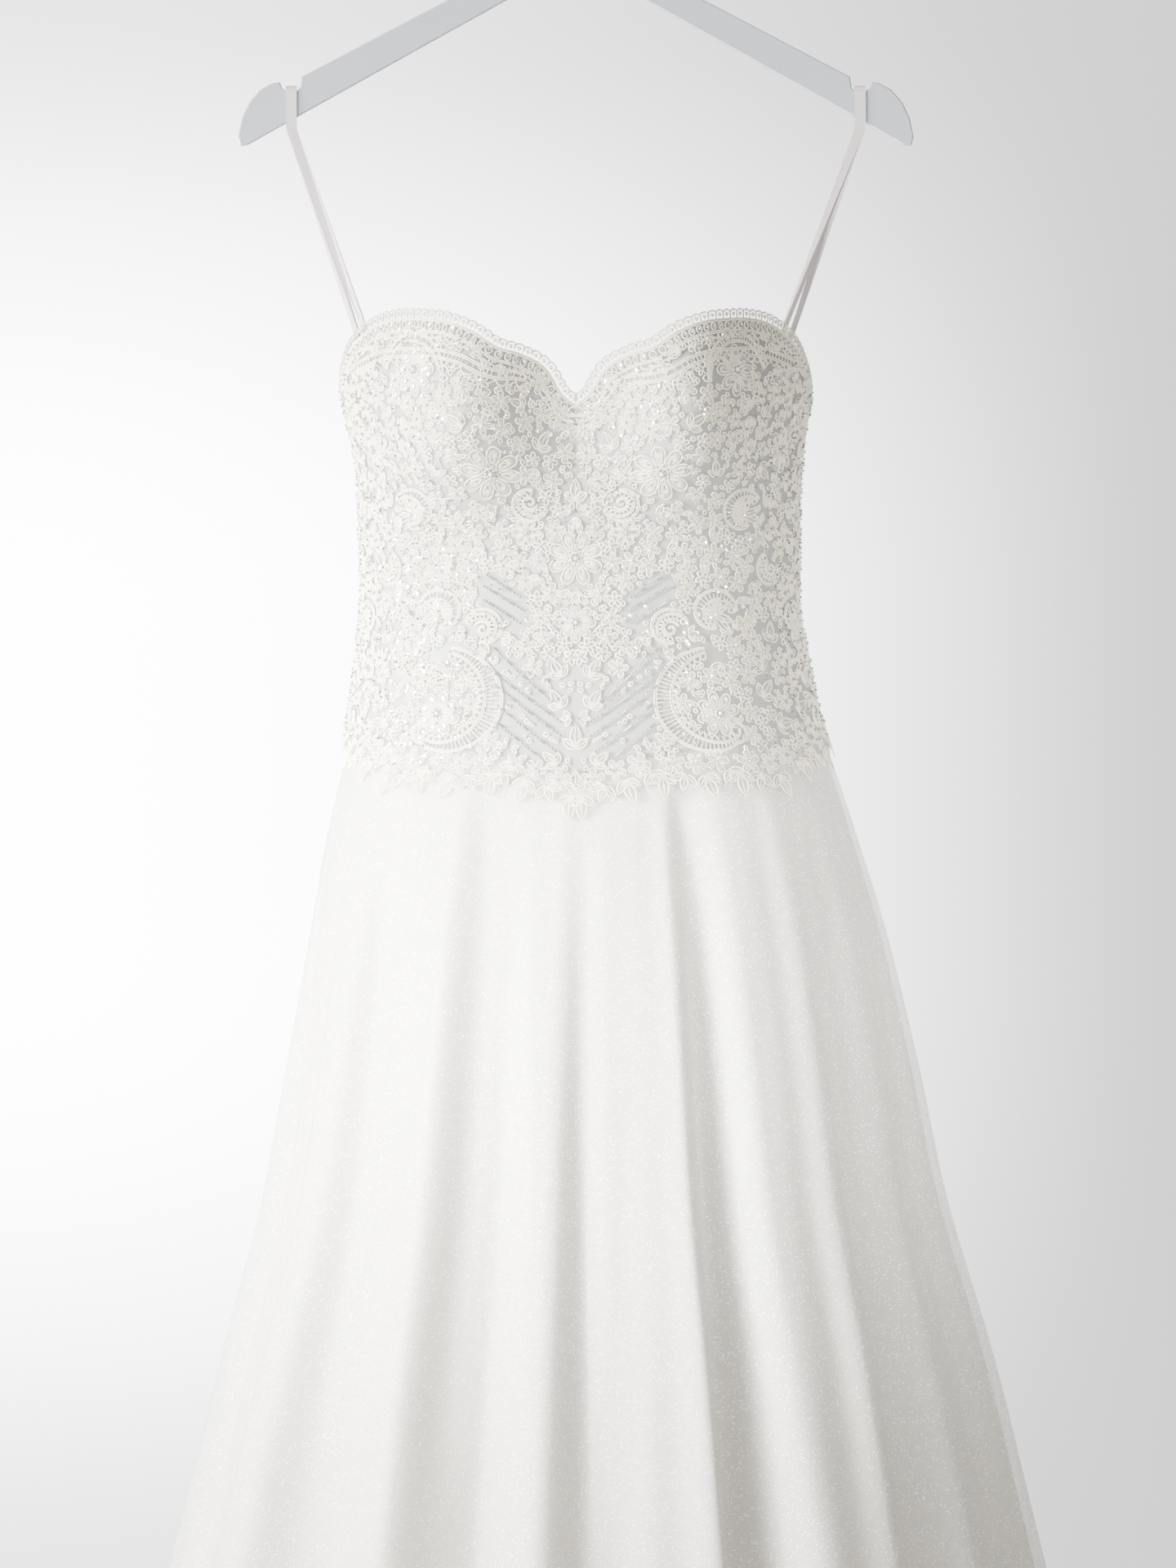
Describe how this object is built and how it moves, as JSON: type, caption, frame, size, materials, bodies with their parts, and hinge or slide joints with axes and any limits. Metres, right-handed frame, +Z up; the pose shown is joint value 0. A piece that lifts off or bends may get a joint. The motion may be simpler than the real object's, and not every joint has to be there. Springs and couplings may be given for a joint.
{
  "type": "wedding dress on a hanger",
  "caption": "Strapless sweetheart wedding gown with a corded lace bodice and a full folded skirt, hung by ribbon loops on a flat hanger.",
  "frame": {"origin": "inside top of the hanger's hook, where a rail bears", "axes": "+Z up, the gown's front faces -Y, +X to the right of a viewer who faces the front"},
  "size_m": [0.8474, 0.6618, 1.7037],
  "materials": {
    "satin": "soft satin",
    "bodice_satin": "soft satin",
    "glitter_tulle": "fine net with glitter",
    "corded_lace": "matt corded lace with beads",
    "lace_edging": "matt corded lace",
    "ribbon": "satin ribbon",
    "frosted_acrylic": "frosted clear plastic",
    "chrome": "polished",
    "zip_tape": "woven tape"
  },
  "bodies": {
    "gown": {"bodice_centre_front": "bodice_satin", "bodice_side_front_left": "bodice_satin", "bodice_side_front_right": "bodice_satin", "bodice_side_back_left": "bodice_satin", "bodice_side_back_right": "bodice_satin", "bodice_back_left": "bodice_satin", "bodice_back_right": "bodice_satin", "lace_front": "corded_lace", "lace_back_left": "corded_lace", "lace_back_right": "corded_lace", "neckline_lace_edge": "lace_edging", "skirt_satin_front": "satin", "skirt_satin_side_front_left": "satin", "skirt_satin_side_front_right": "satin", "skirt_satin_side_back_left": "satin", "skirt_satin_side_back_right": "satin", "skirt_satin_back_left": "satin", "skirt_satin_back_right": "satin", "skirt_tulle_front": "glitter_tulle", "skirt_tulle_back_left": "glitter_tulle", "skirt_tulle_back_right": "glitter_tulle", "hanger_body": "frosted_acrylic", "hanger_hook": "chrome", "hanger_loop_left": "ribbon", "hanger_loop_right": "ribbon", "zip_chain": "zip_tape", "zip_slider": "chrome"},
    "pull": {"zip_pull": "chrome"}
  },
  "joints": [
    {"name": "zip_pull_hinge", "type": "hinge", "parent": "gown", "child": "pull", "pos_m": [0, 0.09951, -0.401], "axis": [1, 0, 0], "range_deg": [0, 150]}
  ]
}
